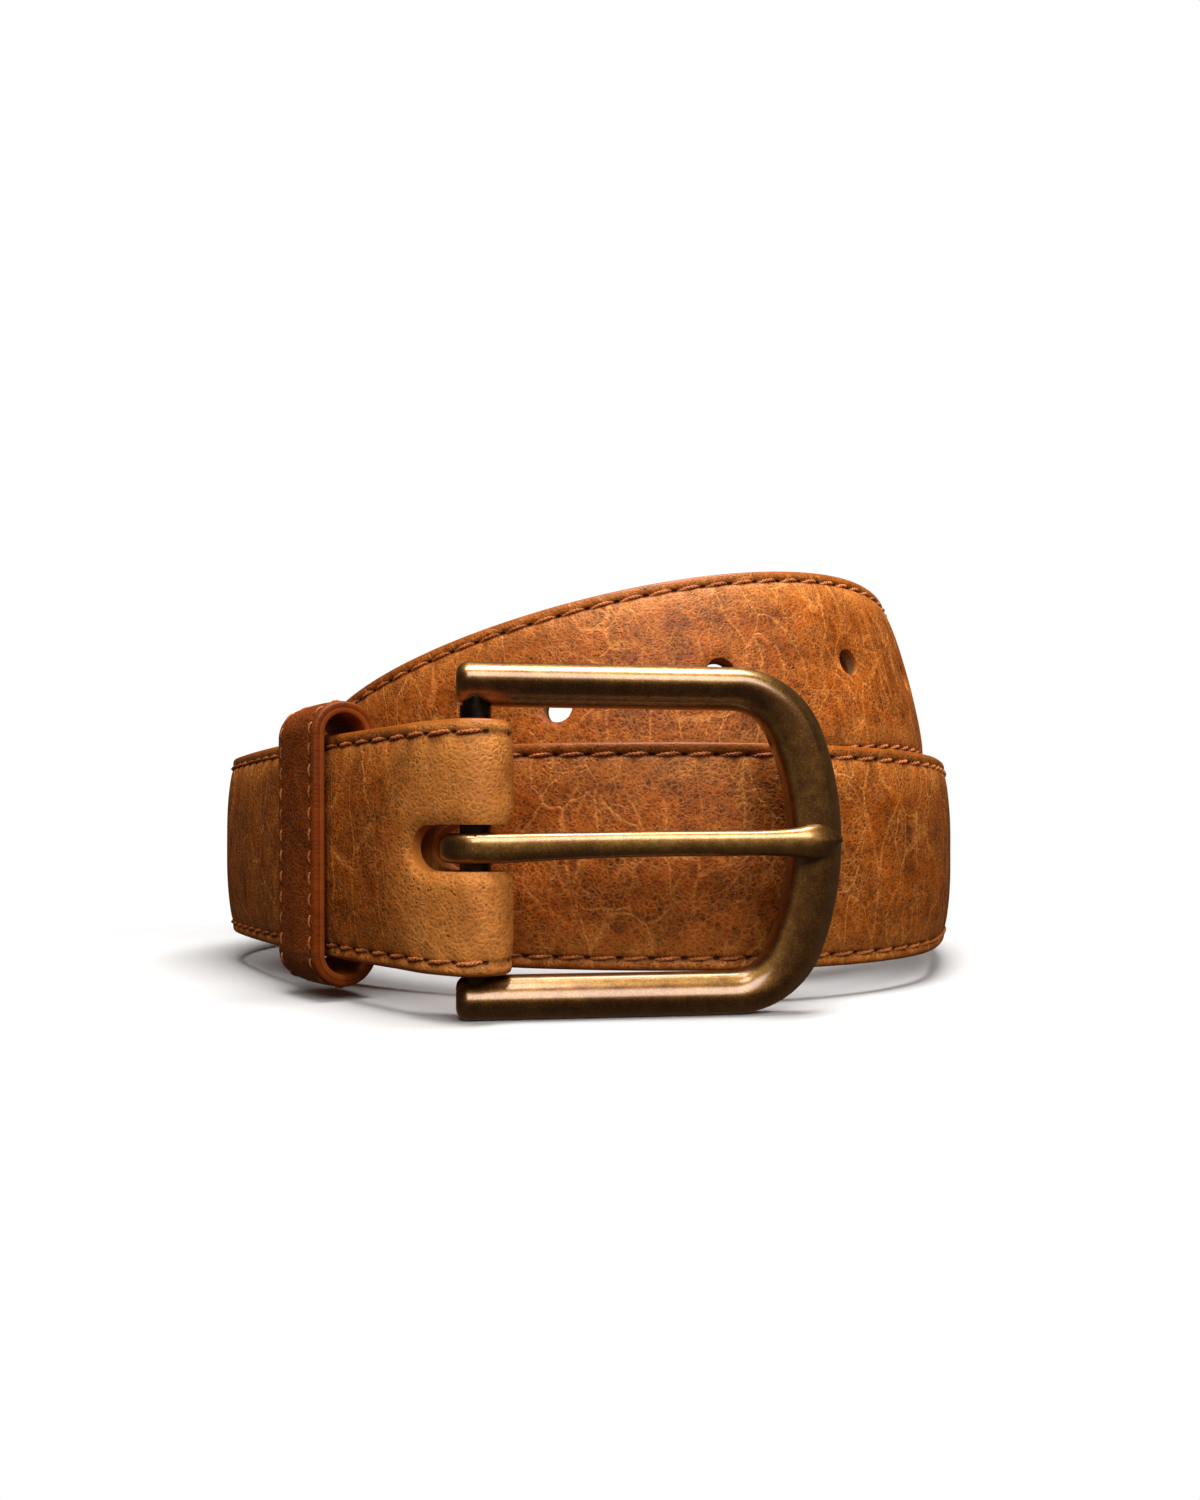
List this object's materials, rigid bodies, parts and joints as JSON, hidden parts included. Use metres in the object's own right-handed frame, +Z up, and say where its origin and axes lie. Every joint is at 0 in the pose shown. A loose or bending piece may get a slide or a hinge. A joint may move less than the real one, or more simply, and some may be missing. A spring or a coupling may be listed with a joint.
{
  "type": "leather belt",
  "caption": "Leather dress belt coiled on its edge, with a stitched crowned strap, a leather keeper and a brass frame buckle with a hinged prong.",
  "frame": {"origin": "below the middle of the coiled belt, on the surface that it stands on", "axes": "+Z up across the strap's width, the shortest way; -Y the front, where the buckle is; +Y the longest way; +X to the right seen from the front"},
  "size_m": [0.1557, 0.175, 0.0743],
  "materials": {
    "strap_leather": "pull-up leather, matte to satin, lighter on the edges",
    "filler_board": "plain pressed leather, hidden",
    "lining_leather": "smooth leather, satin",
    "seam_thread": "waxed twisted thread",
    "antique_brass": "antique, satin with bright edges",
    "dark_steel": "dark satin",
    "keeper_leather": "pebbled leather, matte",
    "keeper_thread": "fine twisted thread"
  },
  "bodies": {
    "strap": {"strap_outer": "strap_leather", "strap_filler": "filler_board", "strap_lining": "lining_leather", "needle_thread": "seam_thread", "bobbin_thread": "seam_thread"},
    "buckle": {"buckle_frame": "antique_brass", "heel_bar": "dark_steel"},
    "prong": {"prong": "antique_brass"},
    "keeper": {"keeper_band": "keeper_leather", "keeper_lining": "lining_leather", "keeper_stitching": "keeper_thread", "keeper_staple": "dark_steel"}
  },
  "joints": [
    {"name": "buckle_pivot", "type": "hinge", "parent": "strap", "child": "buckle", "pos_m": [-0.01636, -0.08228, 0.025], "axis": [0, 0, -1], "range_deg": [-6, 60]},
    {"name": "prong_pivot", "type": "hinge", "parent": "buckle", "child": "prong", "pos_m": [-0.01636, -0.08228, 0.025], "axis": [0, 0, -1], "range_deg": [0, 85]},
    {"name": "keeper_slide", "type": "slide", "parent": "strap", "child": "keeper", "axis": [-0.6265, 0.7794, -0.0048], "range_m": [-0.002, 0.006]}
  ]
}
